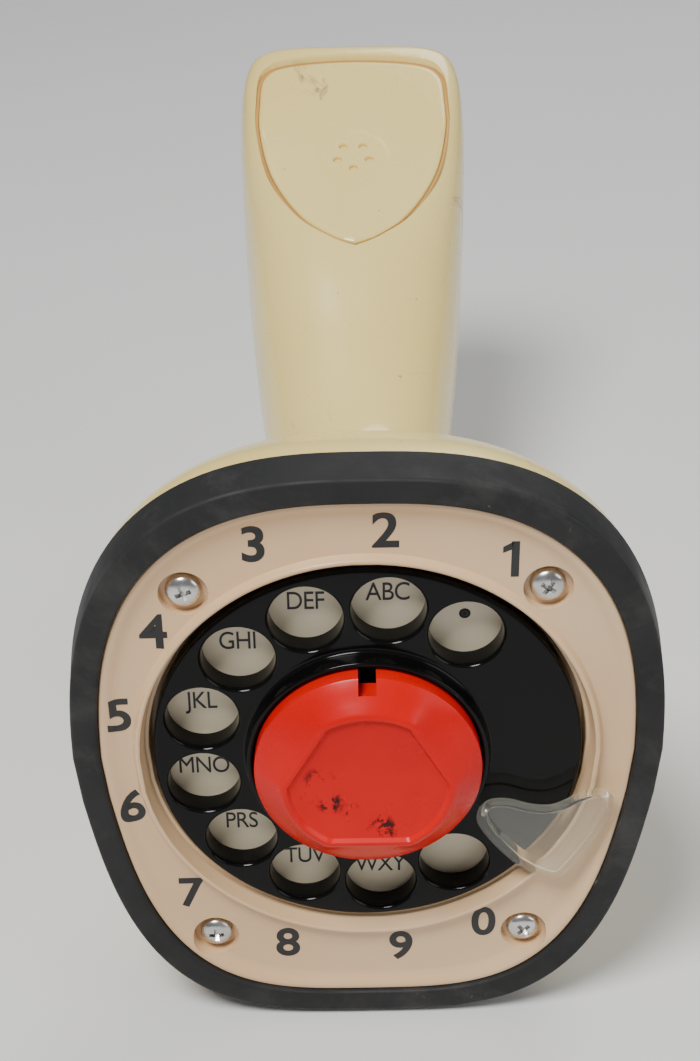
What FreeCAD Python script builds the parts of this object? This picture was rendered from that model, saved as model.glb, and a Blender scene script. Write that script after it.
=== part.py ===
import FreeCAD, Part
import math
import os

# One-piece rotary telephone: the dial and the hook button are in the foot, the earpiece is in the head.
# It lies on its back. +X is to the right of the dial, +Y runs from the foot to the head and +Z is up.
# Lengths along the telephone are measured from the foot plane, and heights from the dial's centre.

doc = FreeCAD.newDocument("rotary_telephone")
sheet = doc.addObject("Spreadsheet::Sheet", "Dimensions")

DIMENSIONS = [
    ("foot_y", -108.05), ("dial_z", 58.3),
    ("wall", 2.4), ("gap", 0.3),
    ("ring_depth", 5.5), ("ring_width", 4.8),
    ("plate_half_width", 44.8), ("plate_front", 49.3), ("plate_rear", 52.7), ("plate_front_y", 0.9),
    ("well_radius", 38.2), ("well_floor_radius", 36.9), ("well_floor_y", 9.2), ("plate_wall", 2.0),
    ("wheel_radius", 36.2), ("wheel_y", 2.5), ("wheel_thick", 1.6), ("wheel_rim_depth", 4.2),
    ("hole_circle", 28.6), ("hole_radius", 6.1), ("hole_pitch", 27.36), ("first_hole", 55.3),
    ("hole_collar", 1.1), ("hole_collar_depth", 4.4),
    ("boss_radius", 20.3), ("boss_rise", 3.0), ("boss_bore", 16.6),
    ("letter_y", 7.6), ("letter_thick", 1.2), ("letter_radius", 36.0), ("letter_bore", 21.0), ("floor_bore", 10.0),
    ("button_rim_radius", 19.0), ("button_face_radius", 14.6), ("button_rim_rise", 5.4),
    ("button_face_rise", 9.4), ("button_travel", 6.8), ("button_back", 0.3), ("cup_floor", 7.5), ("web_thick", 1.1),
    ("spindle_outer", 6.0), ("spindle_inner", 4.1), ("spindle_rear", 31.5), ("plunger_radius", 4.05),
    ("frame_y", 11.2), ("frame_thick", 1.2), ("frame_radius", 38.0), ("frame_bore", 6.05),
    ("main_teeth", 79), ("pinion_teeth", 12), ("gear_module", 0.6), ("idler_teeth", 42),
    ("main_gear_y", 14.0), ("main_gear_thick", 1.8), ("idler_gear_y", 17.0), ("idler_gear_thick", 1.4),
    ("governor_teeth", 14), ("shaft_radius", 1.5), ("bridge_y", 29.0), ("bridge_thick", 1.2),
    ("bridge_radius", 37.0), ("screw_head_radius", 2.9), ("screw_shank_radius", 1.4),
    ("screw_x", 29.2), ("screw_top", 32.5), ("screw_bottom", 41.0), ("capsule_radius", 18.5),
    ("capsule_depth", 11.0), ("mic_radius", 13.0), ("mic_depth", 9.0), ("grommet_radius", 4.2),
    ("spring_wire", 0.45),
]
for row, (alias, value) in enumerate(DIMENSIONS, start=1):
    sheet.set("A%d" % row, alias)
    sheet.set("B%d" % row, str(value))
    sheet.setAlias("B%d" % row, alias)
doc.recompute()


def dim(alias):
    return float(sheet.get(alias))


FOOT_Y = dim("foot_y")
DIAL_Z = dim("dial_z")
NODES = []


def vec(x, y, z):
    return FreeCAD.Vector(x, y, z)


def at(x, y, z):
    """A point given from the dial's centre, in the foot plane, as a point of the row's frame."""
    return vec(x, FOOT_Y + y, DIAL_Z + z)


def keep(node, obj):
    obj.Label = node
    NODES.append((node, obj))
    return obj


def feature(node, shape):
    """A sub-part whose shape no primitive or sketch can give."""
    obj = doc.addObject("Part::Feature", node)
    obj.Shape = shape
    return keep(node, obj)


def bar(name, radius, front, length, x="0", z="0"):
    """A cylinder along +Y. Every size is an expression on the sheet."""
    obj = doc.addObject("Part::Cylinder", name)
    obj.setExpression("Radius", radius)
    obj.setExpression("Height", length)
    obj.Placement = FreeCAD.Placement(vec(0, 0, 0), FreeCAD.Rotation(vec(1, 0, 0), -90))
    obj.setExpression("Placement.Base.x", x)
    obj.setExpression("Placement.Base.y", "Dimensions.foot_y + " + front)
    obj.setExpression("Placement.Base.z", "Dimensions.dial_z + " + z)
    return obj


def block(name, size, x, front, z):
    """A box, centred on x and z, that starts at front. Every size is an expression on the sheet."""
    obj = doc.addObject("Part::Box", name)
    obj.setExpression("Length", size[0])
    obj.setExpression("Width", size[1])
    obj.setExpression("Height", size[2])
    obj.setExpression("Placement.Base.x", "%s - (%s) / 2" % (x, size[0]))
    obj.setExpression("Placement.Base.y", "Dimensions.foot_y + " + front)
    obj.setExpression("Placement.Base.z", "Dimensions.dial_z + %s - (%s) / 2" % (z, size[2]))
    return obj


def cut(name, base, tool):
    obj = doc.addObject("Part::Cut", name)
    obj.Base = base
    obj.Tool = tool
    return obj


def group(name, pieces, kind="Part::MultiFuse"):
    obj = doc.addObject(kind, name)
    obj.Shapes = pieces
    return obj


def tube(name, outer, inner, front, length, x="0", z="0"):
    return cut(name, bar(name + "_outside", outer, front, length, x, z),
               bar(name + "_bore", inner, "%s - 1" % front, "%s + 2" % length, x, z))


def D(alias):
    return "Dimensions." + alias


# ---------------------------------------------------------------- outlines of the shell
# Each station across the telephone: place along it, half width, front, widest height, back, and the
# squareness of its front and back halves. Towards the head the front flattens into the earpiece's face.
STATIONS = [
    (5.5, 49.6, 54.4, -2.0, -58.0, 2.7, 2.7),
    (13.0, 49.3, 53.8, -2.5, -58.2, 2.65, 2.65),
    (25.0, 46.8, 49.4, -5.0, -58.2, 2.5, 2.5),
    (40.0, 41.6, 38.6, -10.0, -58.2, 2.4, 2.4),
    (60.0, 32.8, 21.5, -18.0, -58.2, 2.3, 2.3),
    (80.0, 25.0, 9.0, -24.0, -57.9, 2.25, 2.25),
    (100.0, 20.6, 1.8, -27.0, -56.4, 2.2, 2.2),
    (120.0, 20.6, 1.8, -25.0, -52.0, 2.2, 2.2),
    (140.0, 22.4, 14.2, -15.0, -44.6, 2.4, 2.2),
    (160.0, 24.6, 30.6, -3.0, -34.0, 3.0, 2.3),
    (180.0, 26.2, 39.8, 8.0, -20.0, 4.6, 2.35),
    (198.0, 27.2, 48.6, 20.0, -3.0, 6.0, 2.4),
    (210.0, 27.0, 54.0, 33.0, 13.5, 5.5, 2.5),
    (217.0, 25.4, 57.0, 42.0, 26.5, 4.6, 2.6),
    (221.0, 22.0, 57.9, 48.0, 38.0, 3.6, 2.6),
    (223.0, 14.0, 55.6, 51.0, 46.0, 2.6, 2.4),
]
OUTLINE_POINTS = 40


def outline(y, half_width, front, widest, back, square, square_back):
    """A closed rounded outline in the plane at y: a superellipse with its own front and back halves."""
    points = []
    for i in range(OUTLINE_POINTS):
        turn = 2 * math.pi * (i + 0.5) / OUTLINE_POINTS
        c = math.cos(turn)
        s = math.sin(turn)
        depth = front - widest if s > 0 else widest - back
        power = 2 / (square if s > 0 else square_back)
        x = half_width * math.copysign(abs(c) ** power, c)
        z = widest + depth * math.copysign(abs(s) ** power, s)
        points.append(at(x, y, z))
    curve = Part.BSplineCurve()
    curve.interpolate(points, PeriodicFlag=True)
    return Part.Wire([curve.toShape()])


def slab(y0, y1, grow=0.0, end_grow=None):
    """A solid between two planes, with the plate's outline grown outwards."""
    if end_grow is None:
        end_grow = grow
    wires = []
    for y, g in ((y0, grow), (y1, end_grow)):
        wires.append(outline(y, dim("plate_half_width") + g, dim("plate_front") + g, -2.0,
                             -dim("plate_rear") - g, 2.7, 2.7))
    return Part.makeLoft(wires, True, True)


def shell_solid(inset):
    wires = []
    for y, half_width, front, widest, back, square, square_back in STATIONS:
        if half_width - inset < 4 or front - back < 4 * inset + 4:
            continue
        wires.append(outline(y, half_width - inset, front - inset, widest, back + inset,
                             square, square_back))
    return Part.makeLoft(wires, True, False)


def rod(radius, start, direction, length):
    return Part.makeCylinder(radius, length, start, direction)


# ---------------------------------------------------------------- housing and head
FACE_ANGLE = math.radians(24.6)
FACE_UP = vec(0, math.cos(FACE_ANGLE), math.sin(FACE_ANGLE))
FACE_OUT = vec(0, -math.sin(FACE_ANGLE), math.cos(FACE_ANGLE))
FACE_CENTRE = at(0, 186.5, 43.2)
FACE_HALF_LENGTH = 31.0
FACE_HALF_WIDTH = 24.4


def face_point(x, along, out):
    return FACE_CENTRE + vec(x, 0, 0) + FACE_UP * along + FACE_OUT * out


def shield(grow, out):
    """The earpiece's shield outline: wide and round at the crown, drawn in to a soft point at the chin."""
    half = FACE_HALF_WIDTH + grow
    length = FACE_HALF_LENGTH + grow
    shape = [(0.0, -1.0), (0.24, -0.91), (0.56, -0.68), (0.85, -0.24), (0.98, 0.25), (0.99, 0.6),
             (0.9, 0.86), (0.62, 0.97)]
    right = [(x * half, v * length) for x, v in shape]
    left = [(-x, v) for x, v in reversed(right)]
    points = [face_point(x, v, out) for x, v in right + [(0.0, length)] + left]
    curve = Part.BSplineCurve()
    curve.interpolate(points)
    return Part.Wire([curve.toShape()])


def shield_prism(grow, low, high):
    return Part.Face(shield(grow, low)).extrude(FACE_OUT * (high - low))


outer = shell_solid(0.0)
inner = shell_solid(dim("wall"))
housing = outer.cut(inner)
mouth = outline(4.5, 49.6 - dim("wall"), 54.4 - dim("wall"), -2.0, -58.0 + dim("wall"), 2.7, 2.7)
housing = housing.cut(Part.Face(mouth).extrude(vec(0, 3.0, 0)))
# The earpiece seat is a flat-bottomed recess in the head with a window for the receiver.
housing = housing.cut(shield_prism(0.0, -3.6, 30.0))
seat = shield_prism(2.0, -6.0, -3.6).common(outer).cut(shield_prism(-4.0, -10.0, 0.0))
housing = housing.fuse(seat)
GROMMET_Y = 26.0
housing = housing.cut(rod(dim("grommet_radius"), at(0, GROMMET_Y, -62), vec(0, 0, 1), 8))
# Bosses for the four plate screws.
SCREWS = []
for side in (-1, 1):
    SCREWS.append((side * dim("screw_x"), dim("screw_top")))
    SCREWS.append((side * dim("screw_x"), -dim("screw_bottom")))
for x, z in SCREWS:
    boss = rod(3.6, at(x, 6.2, z), vec(0, 1, 0), 34).common(outer)
    housing = housing.fuse(boss)
    housing = housing.cut(rod(1.35, at(x, 6.0, z), vec(0, 1, 0), 12))
housing = housing.removeSplitter()
feature("housing_shell", max(housing.Solids, key=lambda s: s.Volume))

cap = shield_prism(-1.0, -3.5, -0.9)
HOLE_RING = 4.1
for k in range(5):
    turn = math.radians(-90 + 72 * k)
    start = face_point(HOLE_RING * math.cos(turn), HOLE_RING * math.sin(turn), -8)
    cap = cap.cut(rod(1.0, start, FACE_OUT, 12))
feature("earpiece_cap", cap)
seal = shield_prism(-0.1, -3.5, -1.5).cut(shield_prism(-0.95, -8.0, 4.0))
feature("earpiece_seal", seal)

capsule = rod(dim("capsule_radius") - 2, face_point(0, 0, -18.0), FACE_OUT, 11.0)
capsule = capsule.fuse(rod(7.0, face_point(0, 0, -21.0), FACE_OUT, 4.0))
feature("receiver_capsule", capsule.removeSplitter())
clip = rod(dim("capsule_radius") - 0.2, face_point(0, 0, -16.6), FACE_OUT, 9.6)
clip = clip.cut(rod(dim("capsule_radius") - 1.9, face_point(0, 0, -16.8), FACE_OUT, 12))
feature("receiver_clip", clip)

# ---------------------------------------------------------------- foot: ring, plate and screws
ring = slab(0.0, dim("ring_depth"), dim("ring_width"), dim("ring_width") + 0.3).cut(slab(-1, 7, 0.25))
feature("foot_ring", ring)

rise = slab(dim("plate_front_y") + 1.4, dim("plate_front_y") + 3.2, 0.0)
dish = slab(dim("plate_front_y"), dim("plate_front_y") + 1.4, 0.0)
dish = dish.cut(slab(dim("plate_front_y") - 0.5, dim("plate_front_y") + 1.4, -1.2, -4.2))
plate = rise.fuse(dish)
well_back = dim("well_floor_y") + dim("plate_wall")
plate = plate.fuse(rod(dim("well_radius") + 1.6, at(0, 0.7, 0), vec(0, 1, 0), well_back - 0.7))
well = Part.makeCone(dim("well_radius"), dim("well_floor_radius"), dim("well_floor_y") - 0.6,
                     at(0, 0.6, 0), vec(0, 1, 0))
plate = plate.cut(well)
plate = plate.cut(rod(dim("well_radius"), at(0, -1, 0), vec(0, 1, 0), 1.7))
plate = plate.cut(rod(dim("floor_bore"), at(0, 0, 0), vec(0, 1, 0), 20))
for x, z in SCREWS:
    plate = plate.fuse(rod(5.0, at(x, dim("plate_front_y") + 2.0, z), vec(0, 1, 0), 3.0))
    plate = plate.cut(rod(4.1, at(x, -1, z), vec(0, 1, 0), 3.6))
    plate = plate.cut(rod(1.7, at(x, 0, z), vec(0, 1, 0), 8))
plate = plate.cut(well)
plate = plate.common(slab(-2, 14, 0.0))
feature("base_plate", plate.removeSplitter())


def plate_screw(x, z):
    head = Part.makeSphere(4.0, at(x, 4.9, z)).common(
        rod(dim("screw_head_radius"), at(x, 0.5, z), vec(0, 1, 0), 2.1))
    for turn in (45, 135):
        slot = Part.makeBox(3.4, 1.2, 0.7, vec(-1.7, -0.6, -0.35))
        slot.rotate(vec(0, 0, 0), vec(0, 1, 0), turn)
        slot.translate(at(x, 1.1, z))
        head = head.cut(slot)
    return head.fuse(rod(1.3, at(x, 2.0, z), vec(0, 1, 0), 14)).removeSplitter()


feature("plate_screws", Part.makeCompound([plate_screw(x, z) for x, z in SCREWS]))

# ---------------------------------------------------------------- finger wheel and letter plate
HOLES = []
for k in range(10):
    turn = math.radians(dim("first_hole") + k * dim("hole_pitch"))
    HOLES.append((dim("hole_circle") * math.cos(turn), dim("hole_circle") * math.sin(turn)))

wheel_back = dim("wheel_y") + dim("wheel_rim_depth")
wheel = rod(dim("wheel_radius"), at(0, dim("wheel_y"), 0), vec(0, 1, 0), dim("wheel_rim_depth"))
wheel = wheel.cut(rod(dim("wheel_radius") - 1.2, at(0, dim("wheel_y") + dim("wheel_thick"), 0), vec(0, 1, 0), 9))
for x, z in HOLES:
    wheel = wheel.fuse(rod(dim("hole_radius") + dim("hole_collar"), at(x, dim("wheel_y"), z), vec(0, 1, 0),
                           dim("hole_collar_depth")))
inside = rod(dim("wheel_radius"), at(0, dim("wheel_y"), 0), vec(0, 1, 0), dim("hole_collar_depth"))
wheel = wheel.common(inside)
cup_back = dim("cup_floor") + dim("web_thick")
boss = Part.makeCone(dim("boss_radius"), dim("boss_radius") - 0.5, dim("boss_rise"),
                     at(0, dim("wheel_y"), 0), vec(0, -1, 0))
wheel = wheel.fuse(boss)
wheel = wheel.fuse(rod(dim("boss_radius"), at(0, dim("wheel_y"), 0), vec(0, 1, 0), cup_back - dim("wheel_y")))
for x, z in HOLES:
    wheel = wheel.cut(rod(dim("hole_radius"), at(x, -2, z), vec(0, 1, 0), 14))
# The button sinks into the cup in the boss, whose web carries the spindle.
wheel = wheel.cut(rod(19.35, at(0, -1, 0), vec(0, 1, 0), dim("cup_floor") + 1))
wheel = wheel.cut(rod(dim("spindle_outer"), at(0, 0, 0), vec(0, 1, 0), 14))
feature("finger_wheel", wheel.removeSplitter())

keep("letter_plate", tube("LetterPlate", D("letter_radius"), D("letter_bore"), D("letter_y"), D("letter_thick")))

# The clear stop: a beak from the well's lip over the wheel, with a web down to the plate.
STOP_ANGLE = math.radians(-24.0)


def stop_point(radial, side, y):
    c = math.cos(STOP_ANGLE)
    s = math.sin(STOP_ANGLE)
    return at(radial * c - side * s, y, radial * s + side * c)


beak = [(40.6, 9.6), (35.6, 7.8), (32.2, 4.2), (28.6, 2.0), (24.2, 0.4), (22.6, -1.6),
        (24.4, -4.2), (28.0, -6.4), (32.0, -7.8), (36.0, -8.4), (40.6, -8.2)]
beak_curve = Part.BSplineCurve()
beak_curve.interpolate([stop_point(r, v, -0.6) for r, v in beak])
base_edge = Part.LineSegment(stop_point(40.6, -8.2, -0.6), stop_point(40.6, 9.6, -0.6))
beak_wire = Part.Wire([beak_curve.toShape(), base_edge.toShape()])
stop = Part.Face(beak_wire).extrude(vec(0, 1.9, 0))
stop = stop.cut(rod(dim("well_radius") + 2.2, at(0, 0.65, 0), vec(0, 1, 0), 3).cut(
    rod(dim("well_radius") - 0.3, at(0, 0, 0), vec(0, 1, 0), 5)))
feature("finger_stop", max(stop.Solids, key=lambda s: s.Volume))

# ---------------------------------------------------------------- hook button and plunger
face_y = dim("wheel_y") - dim("button_face_rise")
rim_y = dim("wheel_y") - dim("button_rim_rise")
button_back = dim("button_back")
button = rod(dim("button_rim_radius"), at(0, rim_y, 0), vec(0, 1, 0), button_back - rim_y)
button = button.fuse(Part.makeCone(dim("button_rim_radius"), dim("button_face_radius"), rim_y - face_y,
                                   at(0, rim_y, 0), vec(0, -1, 0)))
for turn in (30, 150, 270):
    flat = Part.makeBox(12, 14, 40, vec(dim("button_face_radius") - 1.0, -14.0, -20))
    flat.rotate(vec(0, 0, 0), vec(0, 0, 1), -16)
    flat.rotate(vec(0, 0, 0), vec(0, 1, 0), -turn)
    flat.translate(at(0, rim_y - 0.8, 0))
    button = button.cut(flat)
recess = rod(dim("button_face_radius") - 1.4, at(0, face_y - 1, 0), vec(0, 1, 0), 1.5)
for turn in (30, 150, 270):
    side = Part.makeBox(10, 20, 40, vec(dim("button_face_radius") - 3.6, -10, -20))
    side.rotate(vec(0, 0, 0), vec(0, 1, 0), -turn)
    side.translate(at(0, face_y, 0))
    recess = recess.cut(side)
button = button.cut(recess)
notch = Part.makeBox(2.9, 6.0, 4.4)
notch.translate(at(-1.45, rim_y - 1.6, dim("button_rim_radius") - 3.4))
button = button.cut(notch)
button = button.cut(rod(dim("button_rim_radius") - 2.2, at(0, rim_y + 1.4, 0), vec(0, 1, 0), 10).cut(
    rod(5.6, at(0, rim_y, 0), vec(0, 1, 0), 12)))
feature("hook_button", button.removeSplitter())

keep("hook_plunger", group("PlungerParts", [
    bar("PlungerStem", D("plunger_radius"), D("button_back"), "31.9"),
    bar("PlungerTip", "1.4", "%s + 31" % D("button_back"), "3.2")]))


def coil(radius, wire, front, length, turns, x, z):
    """A compression spring along +Y, with round wire."""
    helix = Part.makeHelix(length / turns, length, radius)
    start = vec(radius, 0, 0)
    circle = Part.Wire([Part.Circle(start, vec(0, 1, 0.02), wire).toShape()])
    spring = Part.Wire(helix.Edges).makePipeShell([circle], True, True)
    spring.rotate(vec(0, 0, 0), vec(1, 0, 0), -90)
    spring.translate(at(x, front, z))
    return spring


# ---------------------------------------------------------------- dial mechanism
spindle = tube("Spindle", D("spindle_outer") + " - 0.02", D("spindle_inner"),
               D("cup_floor"), "%s - %s" % (D("spindle_rear"), D("cup_floor")))
keep("dial_spindle", spindle)


def gear(teeth, front, thick, bore, x, z, phase):
    """A spur gear with straight-flanked teeth, thin enough to run with backlash."""
    module = dim("gear_module")
    pitch_radius = module * teeth / 2
    root = pitch_radius - 1.15 * module
    tip = pitch_radius + 0.85 * module
    step = 2 * math.pi / teeth
    points = []
    for i in range(teeth):
        centre = phase + i * step
        for radius, share in ((root, -0.33), (pitch_radius, -0.205), (tip, -0.10),
                              (tip, 0.10), (pitch_radius, 0.205), (root, 0.33)):
            turn = centre + share * step
            points.append(at(x + radius * math.cos(turn), front, z + radius * math.sin(turn)))
    points.append(points[0])
    body = Part.Face(Part.makePolygon(points)).extrude(vec(0, thick, 0))
    return body.cut(rod(bore, at(x, front - 1, z), vec(0, 1, 0), thick + 2))


IDLER_ANGLE = math.radians(200)
idler_centre = dim("gear_module") * (dim("main_teeth") + dim("pinion_teeth")) / 2
IDLER_X = idler_centre * math.cos(IDLER_ANGLE)
IDLER_Z = idler_centre * math.sin(IDLER_ANGLE)
GOVERNOR_ANGLE = math.radians(300)
governor_centre = dim("gear_module") * (dim("idler_teeth") + dim("governor_teeth")) / 2
GOVERNOR_X = IDLER_X + governor_centre * math.cos(GOVERNOR_ANGLE)
GOVERNOR_Z = IDLER_Z + governor_centre * math.sin(GOVERNOR_ANGLE)


def facing_gap(teeth, angle):
    """Phase that puts the middle of a tooth space at the angle."""
    return angle + math.pi / teeth


main_gear = gear(int(dim("main_teeth")), dim("main_gear_y"), dim("main_gear_thick"),
                 dim("spindle_outer"), 0, 0, IDLER_ANGLE)
for k in range(5):
    turn = math.radians(72 * k + 20)
    main_gear = main_gear.cut(rod(4.2, at(15 * math.cos(turn), 10, 15 * math.sin(turn)), vec(0, 1, 0), 10))
feature("main_gear", main_gear)

idler_y = dim("main_gear_y") - 0.3
pinion = gear(int(dim("pinion_teeth")), idler_y, 2.4, dim("shaft_radius"), IDLER_X, IDLER_Z,
              facing_gap(dim("pinion_teeth"), IDLER_ANGLE + math.pi))
feature("idler_pinion", pinion)
wheel_phase = GOVERNOR_ANGLE
feature("idler_gear", gear(int(dim("idler_teeth")), dim("idler_gear_y"), dim("idler_gear_thick"),
                           dim("shaft_radius"), IDLER_X, IDLER_Z, wheel_phase))
idler_shaft = rod(dim("shaft_radius"), at(IDLER_X, 12.6, IDLER_Z), vec(0, 1, 0), 16.2)
for y, length in ((11.4, 1.2), (28.8, 1.2)):
    idler_shaft = idler_shaft.fuse(rod(0.7, at(IDLER_X, y, IDLER_Z), vec(0, 1, 0), length))
feature("idler_shaft", idler_shaft.removeSplitter())
CAM_Y = 21.0
cam = rod(3.4, at(IDLER_X, CAM_Y, IDLER_Z), vec(0, 1, 0), 2.2)
lobes = Part.makeBox(9.6, 2.2, 2.6, at(IDLER_X - 4.8, CAM_Y, IDLER_Z - 1.3))
cam = cam.fuse(lobes).cut(rod(dim("shaft_radius"), at(IDLER_X, CAM_Y - 1, IDLER_Z), vec(0, 1, 0), 5))
feature("pulse_cam", cam.removeSplitter())

governor = gear(int(dim("governor_teeth")), 16.8, 1.8, 0.9, GOVERNOR_X, GOVERNOR_Z,
                facing_gap(dim("governor_teeth"), GOVERNOR_ANGLE + math.pi))
feature("governor_pinion", governor)
governor_shaft = rod(0.9, at(GOVERNOR_X, 12.6, GOVERNOR_Z), vec(0, 1, 0), 14.0)
for y, length in ((11.4, 1.2), (26.6, 3.4)):
    governor_shaft = governor_shaft.fuse(rod(0.6, at(GOVERNOR_X, y, GOVERNOR_Z), vec(0, 1, 0), length))
feature("governor_shaft", governor_shaft.removeSplitter())
arm = Part.makeBox(11.4, 1.6, 2.0, at(GOVERNOR_X - 5.7, 22.4, GOVERNOR_Z - 1.0))
for side in (-1, 1):
    arm = arm.fuse(rod(1.5, at(GOVERNOR_X + side * 4.4, 21.4, GOVERNOR_Z), vec(0, 1, 0), 3.6))
arm = arm.cut(rod(0.9, at(GOVERNOR_X, 20, GOVERNOR_Z), vec(0, 1, 0), 8))
feature("governor_weights", arm.removeSplitter())
cup = rod(7.6, at(GOVERNOR_X, 20.4, GOVERNOR_Z), vec(0, 1, 0), dim("bridge_y") - 20.4)
cup = cup.cut(rod(6.6, at(GOVERNOR_X, 20.0, GOVERNOR_Z), vec(0, 1, 0), 8.0))
cup = cup.cut(rod(0.65, at(GOVERNOR_X, 20.0, GOVERNOR_Z), vec(0, 1, 0), 12))
feature("governor_cup", cup)

# The bridge closes the movement at the back, on three pillars from the frame.
bridge = rod(dim("bridge_radius"), at(0, dim("bridge_y"), 0), vec(0, 1, 0), dim("bridge_thick"))
bridge = bridge.cut(rod(dim("frame_bore"), at(0, 20, 0), vec(0, 1, 0), 20))
for x, z, radius in ((IDLER_X, IDLER_Z, 0.75), (GOVERNOR_X, GOVERNOR_Z, 0.65)):
    bridge = bridge.cut(rod(radius, at(x, 20, z), vec(0, 1, 0), 20))
PILLARS = []
for turn in (90, 165, 345):
    PILLARS.append((33.5 * math.cos(math.radians(turn)), 33.5 * math.sin(math.radians(turn))))
pillars = []
bridge_screws = []
for x, z in PILLARS:
    bridge = bridge.cut(rod(1.6, at(x, 20, z), vec(0, 1, 0), 20))
    post = rod(2.6, at(x, dim("frame_y") + dim("frame_thick"), z), vec(0, 1, 0),
               dim("bridge_y") - dim("frame_y") - dim("frame_thick"))
    pillars.append(post.cut(rod(1.3, at(x, 23, z), vec(0, 1, 0), 10)))
    head = rod(2.6, at(x, dim("bridge_y") + dim("bridge_thick"), z), vec(0, 1, 0), 1.6)
    head = head.cut(Part.makeBox(6, 0.8, 0.8, at(x - 3, 31.2, z - 0.4)))
    bridge_screws.append(head.fuse(rod(1.25, at(x, 24, z), vec(0, 1, 0), 6.4)).removeSplitter())
feature("dial_bridge", bridge)
frame_cuts = [bar("FrameSpindleHole", D("frame_bore"), D("frame_y") + " - 1", "4")]
for name, x, z, radius in (("Idler", IDLER_X, IDLER_Z, 0.75), ("Governor", GOVERNOR_X, GOVERNOR_Z, 0.65)):
    frame_cuts.append(bar("Frame%sHole" % name, str(radius), D("frame_y") + " - 1", "4", str(x), str(z)))
frame_disc = bar("FrameDisc", D("frame_radius"), D("frame_y"), D("frame_thick"))
keep("dial_frame", cut("DialFrame", frame_disc, group("FrameHoles", frame_cuts)))
feature("bridge_pillars", Part.makeCompound(pillars))
feature("bridge_screws", Part.makeCompound(bridge_screws))


def spiral_band(start_radius, pitch, turns, thick, front, height):
    """A flat clock spring, wound about the dial's axis."""
    steps = int(turns * 12)

    def edge(offset):
        points = []
        for i in range(steps + 1):
            turn = 2 * math.pi * i / 12
            radius = start_radius + offset + pitch * turn / (2 * math.pi)
            points.append(at(radius * math.cos(turn), front, radius * math.sin(turn)))
        curve = Part.BSplineCurve()
        curve.interpolate(points)
        return curve.toShape(), points[0], points[-1]

    inner_edge, inner_start, inner_end = edge(0.0)
    outer_edge, outer_start, outer_end = edge(thick)
    wire = Part.Wire([inner_edge, Part.makeLine(inner_end, outer_end), outer_edge,
                      Part.makeLine(outer_start, inner_start)])
    return Part.Face(wire).extrude(vec(0, height, 0))


feature("main_spring", spiral_band(6.6, 1.3, 4.5, 0.4, 19.0, 4.0))
feature("spring_post", rod(1.0, at(14.4, 17.0, 0), vec(0, 1, 0), dim("bridge_y") - 17.0))

# Pulse contacts stand beside the cam and hang from the bridge.
contacts = Part.makeBox(7.0, 8.0, 4.0, at(IDLER_X - 1.0, 21.0, IDLER_Z + 14.0))
for k in range(2):
    contacts = contacts.fuse(Part.makeBox(0.5, 3.0, 10.0, at(IDLER_X + 0.4 + 2.2 * k, 21.0, IDLER_Z + 5.2)))
feature("pulse_contacts", contacts.removeSplitter())

# ---------------------------------------------------------------- hook switch behind the movement
LEVER_Y = 35.0
lever = Part.makeBox(9.0, 2.0, 30.0, at(-4.5, LEVER_Y, -6.0))
lever = lever.fuse(Part.makeCylinder(3.0, 9.0, at(-4.5, LEVER_Y + 1.0, 26.0), vec(1, 0, 0)))
lever = lever.cut(Part.makeCylinder(1.55, 20.0, at(-10, LEVER_Y + 1.0, 26.0), vec(1, 0, 0)))
feature("hook_lever", lever.removeSplitter())
feature("hook_lever_pin", Part.makeCylinder(1.5, 17.0, at(-8.5, LEVER_Y + 1.0, 26.0), vec(1, 0, 0)))
bracket = None
for side in (-1, 1):
    ear = Part.makeBox(1.4, 9.0, 8.0, at(side * 7.0 - 0.7, dim("bridge_y") + 1.2, 22.0))
    ear = ear.cut(Part.makeCylinder(1.5, 30.0, at(-15, LEVER_Y + 1.0, 26.0), vec(1, 0, 0)))
    foot = Part.makeBox(6.0, 1.4, 8.0, at(side * 9.9 - 3.0, dim("bridge_y") + 1.2, 22.0))
    ear = ear.fuse(foot)
    bracket = ear if bracket is None else bracket.fuse(ear)
bridge_tie = Part.makeBox(15.4, 1.4, 8.0, at(-7.7, dim("bridge_y") + 1.2, 22.0))
feature("hook_bracket", bracket.fuse(bridge_tie).removeSplitter())
stack = Part.makeBox(9.0, 14.0, 8.0, at(-4.5, dim("bridge_y") + 1.2, -26.0))
for k in range(3):
    stack = stack.fuse(Part.makeBox(5.0, 0.4, 7.0 + k, at(-2.5, 38.6 + 2.2 * k, -22.0)))
feature("hook_switch_stack", stack.removeSplitter())
feature("hook_return_spring", coil(9.5, 0.3, -1.0, 8.1, 3.2, 0, 0))

# ---------------------------------------------------------------- speech parts and cord inlet
MIC_X = 20.5
MIC_Z = -24.0
mic_start = at(MIC_X, 33.0, MIC_Z)
feature("microphone_capsule", rod(dim("mic_radius") - 1.0, mic_start, vec(0, 1, 0), dim("mic_depth")))
holder = rod(dim("mic_radius") + 0.6, mic_start - vec(0, 1.8, 0), vec(0, 1, 0), dim("mic_depth") + 0.8)
holder = holder.cut(rod(dim("mic_radius") - 0.98, mic_start, vec(0, 1, 0), 20))
feature("microphone_holder", holder)
keep("network_board", block("NetworkBoard", ("38", "1.6", "26"), "0", "54", "-35"))
keep("induction_coil", block("InductionCoil", ("15", "13", "17"), "-10", "55.6", "-36"))
keep("network_capacitor", bar("NetworkCapacitor", "6.5", "55.6", "22", "9", "-36"))
grommet = rod(dim("grommet_radius") - 0.02, at(0, GROMMET_Y, -58.1), vec(0, 0, 1), 4.6)
grommet = grommet.fuse(rod(dim("grommet_radius") + 1.6, at(0, GROMMET_Y, -55.5), vec(0, 0, 1), 1.8))
grommet = grommet.cut(rod(2.7, at(0, GROMMET_Y, -60), vec(0, 0, 1), 10))
feature("cord_grommet", grommet.removeSplitter())
rails = []
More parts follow.
